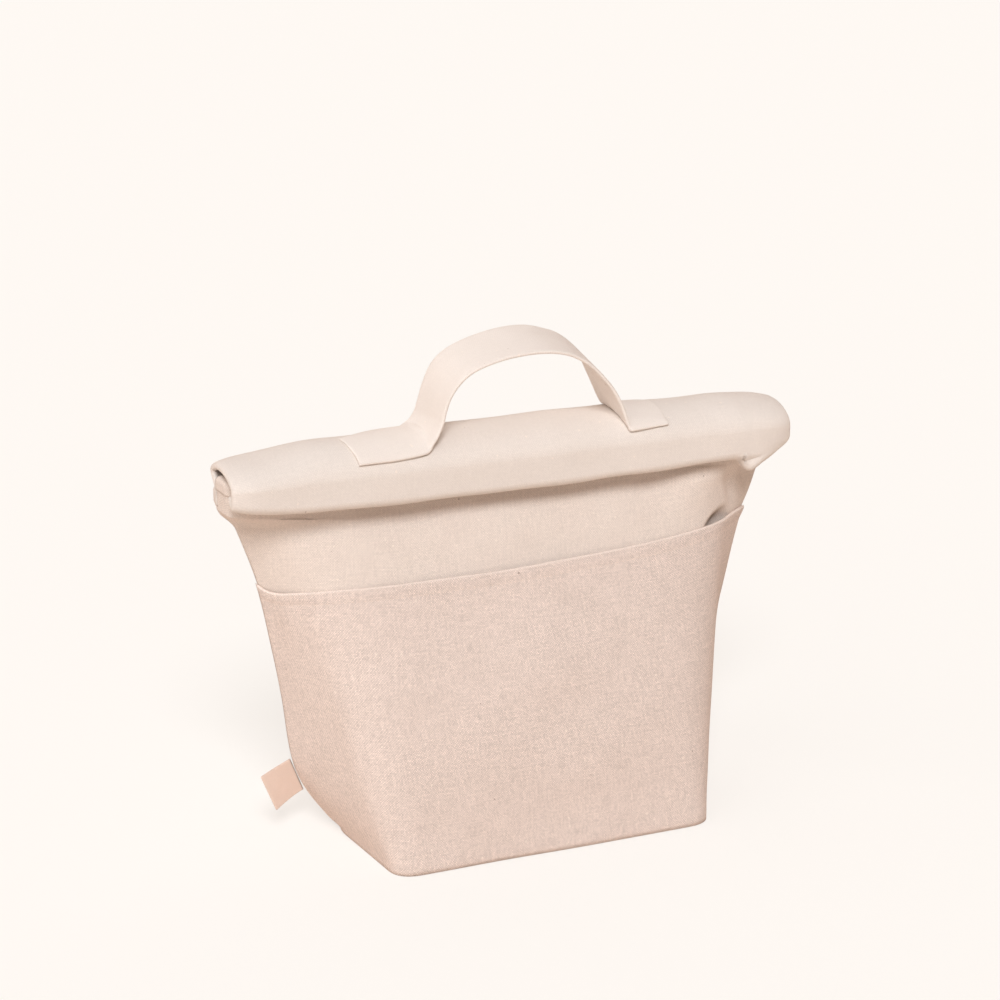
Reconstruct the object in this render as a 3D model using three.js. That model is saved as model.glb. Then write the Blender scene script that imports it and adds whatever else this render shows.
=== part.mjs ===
// Insulated lunch bag with a roll-down top, a front pocket and a carrying strap.
// Sizes are in millimetres. +Z is up, the front faces -Y, and the base stands on z = 0.
import * as THREE from 'three';
import { mergeVertices } from 'three/addons/utils/BufferGeometryUtils.js';

// Bag body: a boxy base that tapers to a wide, flat neck. In plan each height is a long hexagon,
// with its corners at the front and back edges and at the two side seams.
const BASE_WIDTH = 206;
const BASE_DEPTH = 162;
const BASE_CORNER_WIDTH = 184;
const BASE_CORNER_RADIUS = 12;
const BASE_EDGE_RADIUS = 4;
const NECK_WIDTH = 316;
const NECK_DEPTH = 36;
const NECK_CORNER_WIDTH = 230;
const NECK_CORNER_RADIUS = 40;
const NECK_HEIGHT = 190;
const WALL_BULGE = 2;

// Collar above the neck, where the cloth is drawn flat into the roll.
const COLLAR_CORNER_WIDTH = 280;
const COLLAR_BLEND = 12;

// Side seams: share of the neck height, and share of the way from base width to neck width.
const SEAM_FLARE = [
  [0, 0],
  [0.13, 0.29],
  [0.23, 0.41],
  [0.42, 0.5],
  [0.57, 0.6],
  [0.78, 0.745],
  [1, 1],
];

// Cloth layers from the outside in, and the clearance between sewn layers.
const CANVAS = 1;
const FOAM = 3;
const LINING = 0.5;
const GAP = 0.3;

// Mouth: the front lip stands inside the roll, and the back runs on into the flap.
const LIP_RISE = 17;
const HEM_HEIGHT = 2.2;

// Roll: height of its top above the neck, height of its thickest level, and its length.
const ROLL_RISE = 36;
const ROLL_MID_RISE = 21;
const ROLL_LENGTH = 326;
const ROLL_FRONT_RISE = 11;
const CURL_SLACK = 0.5;
const FLAP_END_RISE = 16;
const FRONT_HINGE_ANGLE = THREE.MathUtils.degToRad(152);

// Hook-and-loop strips between the flap's end and the front lip.
const STRIP = 1.2;
const STRIP_LENGTH = 100;
const STRIP_HEIGHT = 7.5;
const STRIP_RISE = 11;

// Front pocket, sewn in at the side seams and the base.
const POCKET_HEIGHT = 147;
const POCKET_SLACK = 10;
const POCKET_SWELL_HEIGHT = 90;

// Carrying strap: two ends sewn flat on the roll and a loop that swings between them.
const STRAP_WIDTH = 34;
const STRAP_FORWARD = 4;
const STRAP = 2;
const STRAP_END = 92;
const LOOP_LEFT = 49;
const LOOP_RIGHT = 61;
const LOOP_RISE = 44;
const LOOP_TIP_WIDTH = 6;

// The loop's bend: share of its span from left to right, and share of its rise.
const LOOP_BEND = [
  [0, 0],
  [0.04, 0.36],
  [0.14, 0.72],
  [0.33, 0.95],
  [0.5, 1],
  [0.68, 0.95],
  [0.82, 0.7],
  [1, 0],
];

// Woven label in the left side seam.
const LABEL_SIZE = 20;
const LABEL = 1;
const LABEL_HEIGHT = 33;
const LABEL_CLEAR = 0.7;

// Mesh steps.
const WALL_STEPS = 24;
const ARC_STEPS = 14;
const CURL_STEPS = 8;
const LOOP_STEPS = 32;

// Sizes that follow from the ones above.
const FOAM_DEPTH = CANVAS + GAP;
const LINING_DEPTH = FOAM_DEPTH + FOAM + GAP;
const WALL = LINING_DEPTH + LINING;
const WALL_FLOOR = CANVAS + GAP;
const LIP_TOP = NECK_HEIGHT + LIP_RISE;
const LIP_FACE = -(NECK_DEPTH + GAP) / 2;
const BACK_FACE = (NECK_DEPTH + GAP) / 2;
const FLAP_END_FACE = LIP_FACE - 2 * STRIP - 3 * GAP;
const CURL_RADIUS = WALL + CURL_SLACK;
const ROLL_FRONT = FLAP_END_FACE - 2 * CURL_RADIUS;
const ROLL_MID_Y = (BACK_FACE + ROLL_FRONT) / 2;
const ROLL_MID_Z = NECK_HEIGHT + ROLL_MID_RISE;
const ROLL_HALF_DEPTH = (BACK_FACE - ROLL_FRONT) / 2;
const ROLL_HALF_HEIGHT = ROLL_RISE - ROLL_MID_RISE;
const ROLL_FRONT_END = NECK_HEIGHT + ROLL_FRONT_RISE;
const FLAP_END = NECK_HEIGHT + FLAP_END_RISE;
const STRAP_SEAT = NECK_HEIGHT + ROLL_RISE + GAP;
const LOOP_FOOT = STRAP_SEAT + STRAP + GAP;
const SWING_HEIGHT = LOOP_FOOT + STRAP_WIDTH / 2;

const canvas = new THREE.MeshStandardMaterial({ color: 0xe2cbbc, roughness: 0.95, metalness: 0 });
const foam = new THREE.MeshStandardMaterial({ color: 0xf1efe9, roughness: 0.9, metalness: 0 });
const foil = new THREE.MeshStandardMaterial({ color: 0xc8cbcf, roughness: 0.3, metalness: 0.8 });
const hookLoop = new THREE.MeshStandardMaterial({ color: 0xd9c5b5, roughness: 1, metalness: 0 });
const labelCloth = new THREE.MeshStandardMaterial({ color: 0xd2b39f, roughness: 0.9, metalness: 0 });

const group = new THREE.Group();
group.name = 'insulated_roll_top_bag';

function steps(from, to, count) {
  return Array.from({ length: count + 1 }, (_, i) => from + ((to - from) * i) / count);
}

function add(name, material, geometry) {
  const mesh = new THREE.Mesh(geometry, material);
  mesh.name = name;
  group.add(mesh);
}

// Value at t of a smooth curve through [t, value] pairs.
function curveThrough(pairs, t) {
  const last = pairs.length - 1;
  const found = pairs.findIndex(([at]) => at >= t);
  const i = found < 0 ? last : Math.max(found, 1);
  const slope = (k) => {
    const [t0, v0] = pairs[Math.max(k - 1, 0)];
    const [t1, v1] = pairs[Math.min(k + 1, last)];
    return (v1 - v0) / (t1 - t0);
  };
  const [t0, v0] = pairs[i - 1];
  const [t1, v1] = pairs[i];
  const span = t1 - t0;
  const s = Math.min((t - t0) / span, 1);
  const s2 = s * s;
  const s3 = s2 * s;
  const start = (2 * s3 - 3 * s2 + 1) * v0 + (s3 - 2 * s2 + s) * span * slope(i - 1);
  return start + (3 * s2 - 2 * s3) * v1 + (s3 - s2) * span * slope(i);
}

// Closed sheet between two depths of a surface point(u, v, depth).
function sheet(point, us, vs, near, far) {
  const rows = us.length;
  const cols = vs.length;
  const side = rows * cols;
  const positions = [];
  const index = [];
  for (const depth of [near, far]) {
    for (const u of us) {
      for (const v of vs) {
        positions.push(...point(u, v, depth).toArray());
      }
    }
  }
  const quad = (a, b, c, d) => index.push(a, b, c, a, c, d);
  const rim = (a, b) => quad(a, b, b + side, a + side);
  for (let i = 0; i < rows - 1; i += 1) {
    for (let j = 0; j < cols - 1; j += 1) {
      const a = i * cols + j;
      quad(a, a + cols, a + cols + 1, a + 1);
      quad(side + a, side + a + 1, side + a + cols + 1, side + a + cols);
    }
    rim((i + 1) * cols, i * cols);
    rim(i * cols + cols - 1, (i + 1) * cols + cols - 1);
  }
  for (let j = 0; j < cols - 1; j += 1) {
    rim(j, j + 1);
    rim((rows - 1) * cols + j + 1, (rows - 1) * cols + j);
  }
  return facingOut(positions, index);
}

// Geometry of a closed surface, with its triangles turned to face outwards.
function facingOut(positions, index) {
  const corner = (i) => new THREE.Vector3().fromArray(positions, 3 * index[i]);
  let volume = 0;
  for (let i = 0; i < index.length; i += 3) {
    volume += corner(i).dot(corner(i + 1).cross(corner(i + 2)));
  }
  const geometry = new THREE.BufferGeometry();
  geometry.setAttribute('position', new THREE.Float32BufferAttribute(positions, 3));
  geometry.setIndex(volume > 0 ? index : index.reverse());
  return geometry;
}

// Body walls. The plan outline at each height is a rounded box that turns into a flat oval.
function neckShare(z) {
  return Math.min(z / NECK_HEIGHT, 1);
}

function seamHalfWidth(z) {
  const flare = curveThrough(SEAM_FLARE, neckShare(z));
  return (BASE_WIDTH + (NECK_WIDTH - BASE_WIDTH) * flare) / 2;
}

function wallHalfDepth(z) {
  const t = neckShare(z);
  return (BASE_DEPTH + (NECK_DEPTH - BASE_DEPTH) * t) / 2 + WALL_BULGE * 4 * t * (1 - t);
}

function edgeInset(z) {
  const below = Math.max(BASE_EDGE_RADIUS - z, 0);
  return BASE_EDGE_RADIUS - Math.sqrt(BASE_EDGE_RADIUS ** 2 - below ** 2);
}

// Half widths, half depth and corner radius of the plan outline at a height.
function planSizes(z) {
  const t = neckShare(z);
  const collar = THREE.MathUtils.smoothstep(z, NECK_HEIGHT - COLLAR_BLEND, NECK_HEIGHT + COLLAR_BLEND);
  const corner = THREE.MathUtils.lerp(BASE_CORNER_WIDTH, NECK_CORNER_WIDTH, t) / 2;
  return {
    seam: seamHalfWidth(z),
    corner: THREE.MathUtils.lerp(corner, COLLAR_CORNER_WIDTH / 2, collar),
    depth: wallHalfDepth(z),
    radius: THREE.MathUtils.lerp(BASE_CORNER_RADIUS, NECK_CORNER_RADIUS, t),
  };
}

// Point of the front (side -1) or back (side 1) wall, at a depth below its outer face. The place
// around the wall runs from -1 at the left seam to 0 in the middle and 1 at the right seam.
function wall(side) {
  return (z, around, depth) => {
    const outer = planSizes(z);
    const inset = depth + edgeInset(z);
    const run = outer.seam - outer.corner;
    const slant = Math.hypot(run, outer.depth);
    const y = outer.depth - inset;
    const seam = new THREE.Vector2(outer.seam - (inset * slant) / outer.depth, 0);
    const corner = new THREE.Vector2(seam.x - (run * y) / outer.depth, y);
    const bendStart = corner.clone().lerp(seam, outer.radius / (outer.radius + slant));
    const bendEnd = new THREE.Vector2(corner.x - outer.radius, y);
    const share = 3 * (1 - Math.abs(around));
    const p = new THREE.Vector2();
    if (share < 1) {
      p.lerpVectors(seam, bendStart, share);
    } else if (share < 2) {
      p.copy(new THREE.QuadraticBezierCurve(bendStart, corner, bendEnd).getPoint(share - 1));
    } else {
      p.lerpVectors(bendEnd, new THREE.Vector2(0, y), share - 2);
    }
    return new THREE.Vector3(Math.sign(around) * p.x, side * (p.y + GAP / 2), z);
  };
}

// Rows of a wall from one height to another. All layers share them, so that they nest.
const foot = [WALL + GAP, BASE_EDGE_RADIUS + WALL];
const walls = [0.09, 0.15, 0.23, 0.34, 0.46, 0.57, 0.68].map((t) => t * NECK_HEIGHT);
const throat = [POCKET_HEIGHT, 0.86 * NECK_HEIGHT, NECK_HEIGHT - COLLAR_BLEND, NECK_HEIGHT];
const rows = [...foot, ...walls, ...throat, NECK_HEIGHT + COLLAR_BLEND].sort((a, b) => a - b);

function heights(from, to) {
  return [from, ...rows.filter((z) => z > from + GAP && z < to - GAP), to];
}

const frontWall = wall(-1);
const backWall = wall(1);
const aroundHalf = steps(-1, 1, WALL_STEPS);

// The back wall ends just below the back hinge, where the flap begins.
const backTop = ROLL_MID_Z - GAP / 2;

for (const [name, point, top] of [['front', frontWall, LIP_TOP], ['back', backWall, backTop]]) {
  const panel = sheet(point, heights(WALL_FLOOR, top), aroundHalf, 0, CANVAS);
  const padding = sheet(point, heights(WALL_FLOOR, top), aroundHalf, FOAM_DEPTH, FOAM_DEPTH + FOAM);
  const liner = sheet(point, heights(WALL + GAP, top), aroundHalf, LINING_DEPTH, WALL);
  add(`${name}_panel`, canvas, panel);
  add(`${name}_foam`, foam, padding);
  add(`${name}_lining`, foil, liner);
}

const hemHeights = [LIP_TOP + GAP, LIP_TOP + GAP + HEM_HEIGHT];
add('mouth_hem', canvas, sheet(frontWall, hemHeights, aroundHalf, 0, WALL));

// Base layers, with the outline of the walls at the foot.
function basePlate(depth, bottom, top) {
  const rim = [];
  for (const [point, places] of [[backWall, [...aroundHalf].reverse()], [frontWall, aroundHalf]]) {
    for (const around of places) {
      const p = point(WALL_FLOOR, around, depth);
      rim.push(new THREE.Vector2(p.x, p.y));
    }
  }
  const outline = new THREE.Shape(rim);
  const plate = new THREE.ExtrudeGeometry(outline, { depth: top - bottom, bevelEnabled: false });
  plate.deleteAttribute('normal');
  plate.deleteAttribute('uv');
  plate.translate(0, 0, bottom);
  return mergeVertices(plate, 1e-4);
}

add('base_panel', canvas, basePlate(0, 0, CANVAS));
add('base_foam', foam, basePlate(LINING_DEPTH, FOAM_DEPTH, FOAM_DEPTH + FOAM));
add('base_lining', foil, basePlate(LINING_DEPTH, LINING_DEPTH, WALL));

// Front pocket, which swells away from the front panel towards its open top.
function pocketPoint(z, around, depth) {
  const rise = THREE.MathUtils.smoothstep(z, WALL_FLOOR, POCKET_SWELL_HEIGHT);
  const swell = Math.cos((Math.PI / 2) * around) ** 4;
  return frontWall(z, around, depth - POCKET_SLACK * rise * swell);
}

const pocketHeights = heights(WALL_FLOOR, POCKET_HEIGHT);
add('front_pocket', canvas, sheet(pocketPoint, pocketHeights, aroundHalf, -GAP - CANVAS, -GAP));

// Roll section: each station is a point of the outer face and its outward direction.
function rollPoint(angle) {
  const c = Math.cos(angle);
  const s = Math.sin(angle);
  const out = new THREE.Vector2(c / ROLL_HALF_DEPTH, s / ROLL_HALF_HEIGHT).normalize();
  const y = ROLL_MID_Y + ROLL_HALF_DEPTH * c;
  const z = ROLL_MID_Z + ROLL_HALF_HEIGHT * s;
  return { y, z, out };
}

function curlPoint(angle) {
  const out = new THREE.Vector2(Math.cos(angle), Math.sin(angle));
  const y = FLAP_END_FACE - CURL_RADIUS + CURL_RADIUS * out.x;
  const z = ROLL_FRONT_END + CURL_RADIUS * out.y;
  return { y, z, out };
}

function flapPoint(station, x, depth) {
  const { y, z, out } = station;
  return new THREE.Vector3(x, y - out.x * depth, z - out.y * depth);
}

function flapEnd(z) {
  return { y: FLAP_END_FACE, z, out: new THREE.Vector2(1, 0) };
}

const hingeGapAngle = GAP / 2 / ROLL_HALF_HEIGHT;
const topAngles = steps(hingeGapAngle, FRONT_HINGE_ANGLE - hingeGapAngle, ARC_STEPS);
const frontAngles = steps(FRONT_HINGE_ANGLE + hingeGapAngle, Math.PI, ARC_STEPS / 2);
const topStations = topAngles.map(rollPoint);
const frontStations = [
  ...frontAngles.map(rollPoint),
  ...steps(Math.PI, 2 * Math.PI, CURL_STEPS).map(curlPoint),
  flapEnd(FLAP_END),
];
const rollSpan = [-ROLL_LENGTH / 2, ROLL_LENGTH / 2];

for (const [name, stations] of [['flap_top', topStations], ['flap_front', frontStations]]) {
  add(`${name}_canvas`, canvas, sheet(flapPoint, stations, rollSpan, 0, CANVAS));
  add(`${name}_foam`, foam, sheet(flapPoint, stations, rollSpan, FOAM_DEPTH, FOAM_DEPTH + FOAM));
  add(`${name}_lining`, foil, sheet(flapPoint, stations, rollSpan, LINING_DEPTH, WALL));
}

const endHem = [flapEnd(FLAP_END + GAP), flapEnd(FLAP_END + GAP + HEM_HEIGHT)];
add('flap_end_hem', canvas, sheet(flapPoint, endHem, rollSpan, 0, WALL));

// Hook strip on the flap's end and loop strip on the front lip, with a gap between their faces.
const stripBottom = NECK_HEIGHT + STRIP_RISE;
const stripSpan = [-STRIP_LENGTH / 2, STRIP_LENGTH / 2];
const hookStations = [flapEnd(stripBottom), flapEnd(stripBottom + STRIP_HEIGHT)];
add('hook_strip', hookLoop, sheet(flapPoint, hookStations, stripSpan, -GAP - STRIP, -GAP));

function lipPoint(z, x, depth) {
  return new THREE.Vector3(x, LIP_FACE + depth, z);
}

const stripHeights = [stripBottom, stripBottom + STRIP_HEIGHT];
add('loop_strip', hookLoop, sheet(lipPoint, stripHeights, stripSpan, -GAP - STRIP, -GAP));

// Strap ends, which follow the top of the roll.
const strapBack = Math.acos((STRAP_WIDTH / 2 - STRAP_FORWARD) / ROLL_HALF_DEPTH);
const strapFront = Math.acos((-STRAP_WIDTH / 2 - STRAP_FORWARD) / ROLL_HALF_DEPTH);
const strapStations = steps(strapBack, strapFront, 8).map(rollPoint);
for (const [name, from, to] of [['left', -STRAP_END, -LOOP_LEFT], ['right', LOOP_RIGHT, STRAP_END]]) {
  const end = sheet(flapPoint, strapStations, [from, to], -GAP - STRAP, -GAP);
  add(`handle_end_${name}`, canvas, end);
}

// Strap loop. Its feet are rounded about the swing axis, so that it clears the roll as it swings.
const loopCurve = new THREE.SplineCurve(
  LOOP_BEND.map(([across, up]) => {
    const x = -LOOP_LEFT + (LOOP_LEFT + LOOP_RIGHT) * across;
    return new THREE.Vector2(x, LOOP_FOOT + LOOP_RISE * up);
  }),
);
const footLift = STRAP_WIDTH / 2 - Math.sqrt(STRAP_WIDTH ** 2 - LOOP_TIP_WIDTH ** 2) / 2;

function loopPoint(t, across, depth) {
  const middle = loopCurve.getPointAt(t);
  const along = loopCurve.getTangentAt(t);
  const x = middle.x + along.y * depth;
  const z = Math.max(middle.y - along.x * depth, LOOP_FOOT + footLift);
  const below = Math.max(SWING_HEIGHT - z, 0);
  const half = Math.sqrt((STRAP_WIDTH / 2) ** 2 - below ** 2);
  return new THREE.Vector3(x, ROLL_MID_Y - STRAP_FORWARD + across * half, z);
}

add('handle_strap', canvas, sheet(loopPoint, steps(0, 1, LOOP_STEPS), [-1, 1], -STRAP / 2, STRAP / 2));

// Label, square to the seam, with its sewn edge just outside the pocket's edge in the seam.
const seamSpread = seamHalfWidth(LABEL_HEIGHT + LABEL_SIZE / 2) - seamHalfWidth(LABEL_HEIGHT - LABEL_SIZE / 2);
const seamLean = Math.atan2(seamSpread, LABEL_SIZE);
const labelOut = GAP + CANVAS + LABEL_CLEAR;
const tag = new THREE.BoxGeometry(LABEL_SIZE, LABEL, LABEL_SIZE);
tag.deleteAttribute('normal');
tag.deleteAttribute('uv');
tag.translate(-LABEL_SIZE / 2 - labelOut, 0, 0);
tag.rotateY(-seamLean);
tag.translate(-seamHalfWidth(LABEL_HEIGHT), 0, LABEL_HEIGHT);
add('side_label', labelCloth, mergeVertices(tag, 1e-4));

export default group;
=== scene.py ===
import bpy
import numpy as np
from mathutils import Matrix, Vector


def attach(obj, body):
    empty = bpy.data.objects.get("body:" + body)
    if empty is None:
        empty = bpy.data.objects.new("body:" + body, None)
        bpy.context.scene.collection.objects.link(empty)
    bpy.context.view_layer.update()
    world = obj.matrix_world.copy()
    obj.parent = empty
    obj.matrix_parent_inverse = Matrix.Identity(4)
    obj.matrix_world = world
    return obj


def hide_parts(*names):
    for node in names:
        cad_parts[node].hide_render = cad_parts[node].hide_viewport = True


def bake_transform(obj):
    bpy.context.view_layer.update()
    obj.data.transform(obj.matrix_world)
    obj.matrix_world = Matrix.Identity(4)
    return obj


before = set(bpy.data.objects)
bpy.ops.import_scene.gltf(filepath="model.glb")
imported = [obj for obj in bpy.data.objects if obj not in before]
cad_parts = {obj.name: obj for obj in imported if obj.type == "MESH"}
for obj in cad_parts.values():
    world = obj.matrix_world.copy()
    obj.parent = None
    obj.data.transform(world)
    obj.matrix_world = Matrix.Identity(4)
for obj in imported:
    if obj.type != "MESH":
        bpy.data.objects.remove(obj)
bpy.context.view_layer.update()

# Sizes in millimetres: those of the solids, and those of the cloth's own shapes.
MM = 0.001
BASE_WIDTH = 206
BASE_DEPTH = 162
BASE_CORNER = 184
BASE_CORNER_RADIUS = 12
BASE_EDGE = 4
NECK_WIDTH = 316
NECK_DEPTH = 36
NECK_CORNER = 230
NECK_CORNER_RADIUS = 40
NECK_HEIGHT = 190
WALL_BULGE = 2
# Collar's ends: heights where it starts and is full, flare, corner's inset and corner's radius.
COLLAR_ENDS = {
    "left_outer": (181, 194, 6.5, 2.5, 9),
    "right_outer": (176, 200, 0, 7, 17),
    "left_inner": (186, 208, -6, 14, 24),
    "right_inner": (181, 205, -6, 14, 24),
}
# Share of the seams' spread that is reached at shares of the neck's height.
SEAM_FLARE = {
    "left": [(0, 0), (0.13, 0.305), (0.23, 0.43), (0.42, 0.515), (0.57, 0.6), (0.78, 0.745), (1, 1)],
    "right": [
        (0, 0), (0.13, 0.25), (0.23, 0.355), (0.42, 0.445),
        (0.57, 0.57), (0.78, 0.745), (0.88, 0.885), (1, 1.015),
    ],
}
SEAM_GAP = 0.15
CANVAS = 1.0
FOAM_DEPTH = 1.3
FOAM = 3.0
LINING_DEPTH = 4.6
LINING = 0.5
WALL = 5.1
LIP_TOP = 207
BACK_TOP = 195
LIP_FACE = -18.15
HINGE_HEIGHT = 211
FLAP_END_FACE = -21.45
FLAP_END = 206
CURL_RADIUS = 5.6
ROLL_MID_Y = -7.25
ROLL_MID_Z = 211
ROLL_HALF_DEPTH = 25.4
ROLL_HALF_HEIGHT = 15
ROLL_FRONT_END = 201
ROLL_LENGTH = 326
ROLL_THICK = 4.3
ROLL_LINING_DEPTH = ROLL_THICK + 0.45
# Share of the roll's section that belongs to the hinge.
ROLL_SPLIT = 0.13
# Points of the section over the top, and of its curl.
OVER_POINTS = 73
CURL_POINTS = 49
# How much higher the roll's middle is, and how much lower its ends and its front edge hang.
ROLL_RISE = 1.5
LEFT_DROOP = 5.2
RIGHT_DROOP = 2.0
FRONT_SAG = 3.6
ENDS_LESS_SAG = 1.2
LEFT_LESS_SAG = 2.4
# Lengths over which the roll's ends are rounded, how far, and how far below its middle.
LEFT_ROUND = 13
LEFT_ROUND_SHARE = 0.28
RIGHT_ROUND = 20
RIGHT_ROUND_SHARE = 0.42
ROUND_BELOW = 3
TAIL_INSET = 5
HOLLOW_DEPTH = 1.7
# How far the roll's front edge hangs lower near its right end, by places along it.
ROLL_TAIL = [
    (126, 0), (130, 1.5), (134.6, 7), (138.6, 8.6), (146, 5.6), (154, 3.2), (157, 1.8), (161.5, 0),
]
LIP_TAPE = 0.8
END_TAPE = 0.7
LABEL_TAPE = 0.5
STRIP = 1.2
STRIP_LENGTH = 100
STRIP_BOTTOM = 201
STRIP_HEIGHT = 7.5
STRAP = 2.0
STRAP_CLEAR = 0.2
# How far the front edges of the strap's sewn ends stand up.
LEFT_END_LIFT = 0.9
RIGHT_END_LIFT = 1.5
# Label's ends on the seam, its reach from the seam and its width.
LABEL_LOW = (-121.0, 0, 22.9)
LABEL_HIGH = (-127.9, 0, 41.7)
LABEL_REACH = 18.4
LABEL_WIDTH = 20.3

# Heights of the pocket's top edge, from the left seam (-1) to the right seam (1).
POCKET_EDGE = [
    (-1, 149.5), (-0.97, 146.4), (-0.93, 145.8), (-0.89, 146.3), (-0.825, 147.8), (-0.755, 149.2),
    (-0.685, 150.2), (-0.51, 150.7), (-0.265, 150.8), (0.11, 152), (0.43, 154.2), (0.68, 156.6),
    (0.785, 157.1), (0.925, 157.1), (1, 156.6),
]
# Height of the top of the gape behind the pocket, by shares.
GAPE_TOP = [(0.68, 154), (0.72, 158.5), (0.76, 161.5), (0.81, 162.8), (0.86, 160), (0.9, 156), (1, 154)]
GAPE_DEPTH = 7.0
PADDING_DENT = 10.0
POCKET_HEM = 7.0
POCKET_FOOT = 0.3
POCKET_GAP = 0.85
POCKET_BELLY = 7.5
POCKET_LEFT_LIFT = 1.6
STITCH_LENGTH = 2.2
STITCH_GAP = 1.2
THREAD_RADIUS = 0.13
# Run of half a wall, for the spacing of its ripples.
HALF_WALL = 150

# Photograph's view, in millimetres and degrees.
VIEW_TARGET = (4.0, 17.7, 171.6)
VIEW_AZIMUTH = -21.43
VIEW_ELEVATION = 19.16
VIEW_DISTANCE = 1461
VIEW_LENS = 93.6


def smooth(x, low, high):
    t = np.clip((np.asarray(x, float) - low) / (high - low), 0, 1)
    return t * t * (3 - 2 * t)


def hump(x, middle, width):
    return np.exp(-(((np.asarray(x, float) - middle) / width) ** 2))


def curve(pairs, t):
    """Smooth curve through (place, value) pairs."""
    at, value = np.array(pairs, float).T
    last = len(at) - 1
    lower = np.maximum(np.arange(last + 1) - 1, 0)
    upper = np.minimum(np.arange(last + 1) + 1, last)
    slope = (value[upper] - value[lower]) / (at[upper] - at[lower])
    t = np.clip(t, at[0], at[-1])
    i = np.clip(np.searchsorted(at, t), 1, last)
    span = at[i] - at[i - 1]
    s = (t - at[i - 1]) / span
    start = (2 * s**3 - 3 * s**2 + 1) * value[i - 1] + (s**3 - 2 * s**2 + s) * span * slope[i - 1]
    return start + (3 * s**2 - 2 * s**3) * value[i] + (s**3 - s**2) * span * slope[i]


def ripple(x, z, seed, wavelength):
    """Smooth unevenness of about one unit, from a few waves in fixed directions."""
    rng = np.random.default_rng(seed)
    total = 0.0
    for _ in range(7):
        angle = rng.uniform(0, np.pi)
        scale = rng.uniform(0.7, 1.6) * wavelength / (2 * np.pi)
        phase = rng.uniform(0, 2 * np.pi)
        total = total + np.sin((x * np.cos(angle) + z * np.sin(angle)) / scale + phase)
    return total / 3


def spaced(start, end, step, rim):
    """Places from start to end, a step apart, with closer ones in the rim at both ends."""
    inside = np.linspace(start + rim, end - rim, max(int(abs(end - start) / step), 2))
    near = np.array([0, 0.12, 0.45]) * rim
    return np.concatenate([start + near, inside, (end - near)[::-1]])


def normals(grid):
    """Unit normals of a grid of points."""
    n = np.cross(np.gradient(grid, axis=1), np.gradient(grid, axis=0))
    return n / np.maximum(np.linalg.norm(n, axis=-1, keepdims=True), 1e-9)


def run_along(grid, axis):
    """Length along a grid's rows or columns up to each point."""
    steps = np.linalg.norm(np.diff(grid, axis=axis), axis=-1)
    return np.cumsum(np.pad(steps, [(1, 0) if k == axis else (0, 0) for k in (0, 1)]), axis=axis)


def path_run(path):
    """Length along a path up to each point."""
    return np.concatenate([[0], np.cumsum(np.linalg.norm(np.diff(path, axis=0), axis=1))])


def mesh_object(name, points, faces, places, material, painted_highlight=None):
    """Object from points in millimetres, with the cloth's flat places as its map, in metres."""
    mesh = bpy.data.meshes.new(name)
    mesh.from_pydata((points * MM).tolist(), [], faces)
    corner = np.zeros(len(mesh.loops), np.int64)
    mesh.loops.foreach_get("vertex_index", corner)
    flat = mesh.uv_layers.new(name="cloth")
    flat.data.foreach_set("uv", (places[corner] * MM).astype(np.float32).ravel())
    if painted_highlight is not None:
        # Each point's share of the painted highlight.
        mark = mesh.attributes.new("edge_highlight_share", "FLOAT", "POINT")
        mark.data.foreach_set("value", painted_highlight.astype(np.float32))
    mesh.polygons.foreach_set("use_smooth", np.ones(len(mesh.polygons), bool))
    mesh.materials.append(material)
    piece = bpy.data.objects.new(name, mesh)
    bpy.context.collection.objects.link(piece)
    return piece


def cloth(name, middle, half, material, square=(), painted_highlight=None):
    """Closed piece of cloth about a grid of middle points, half as thick to each side. Its rims
    are rounded, apart from the square ones (first, last, left or right)."""
    rows, cols = middle.shape[:2]
    along, across = run_along(middle, 0), run_along(middle, 1)
    half = np.broadcast_to(np.asarray(half, float), (rows, cols))
    to_rim = {
        "first": along,
        "last": along[-1:] - along,
        "left": across,
        "right": across[:, -1:] - across,
    }
    rim = np.min([d for edge, d in to_rim.items() if edge not in square], axis=0)
    share = np.clip(rim / half, 0, 1)
    thick = (half * np.sqrt(1 - (1 - share) ** 2))[..., None]
    out = normals(middle)
    points = np.concatenate([middle + out * thick, middle - out * thick]).reshape(-1, 3)
    upper = np.arange(rows * cols).reshape(rows, cols)
    lower = np.where(thick[..., 0] < 1e-6, upper, upper + rows * cols)
    faces = []

    def quads(a, b, c, d):
        for corners in np.stack([a, b, c, d], -1).reshape(-1, 4).tolist():
            face = list(dict.fromkeys(corners))
            if len(face) > 2:
                faces.append(face)

    quads(upper[:-1, :-1], upper[:-1, 1:], upper[1:, 1:], upper[1:, :-1])
    quads(lower[:-1, :-1], lower[1:, :-1], lower[1:, 1:], lower[:-1, 1:])
    quads(upper[0, :-1], lower[0, :-1], lower[0, 1:], upper[0, 1:])
    quads(upper[-1, 1:], lower[-1, 1:], lower[-1, :-1], upper[-1, :-1])
    quads(upper[1:, 0], lower[1:, 0], lower[:-1, 0], upper[:-1, 0])
    quads(upper[:-1, -1], lower[:-1, -1], lower[1:, -1], upper[1:, -1])
    used = np.unique(np.concatenate([np.array(f) for f in faces]))
    renumber = np.zeros(len(points), np.int64)
    renumber[used] = np.arange(len(used))
    faces = [renumber[f].tolist() for f in faces]
    places = np.stack([across - across[:, [cols // 2]], along], -1).reshape(-1, 2)
    # Share of the painted highlight at each point, on both faces.
    marks = None if painted_highlight is None else np.tile(np.broadcast_to(painted_highlight, (rows, cols)).ravel(), 2)[used]
    return mesh_object(name, points[used], faces, np.tile(places, (2, 1))[used], material, marks)


# Materials
def tint(red, green, blue):
    """Linear colour, with full opacity, of a screen colour."""
    c = np.array([red, green, blue]) / 255
    linear = np.where(c <= 0.04045, c / 12.92, ((c + 0.055) / 1.055) ** 2.4)
    return (*linear.tolist(), 1.0)


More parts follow.
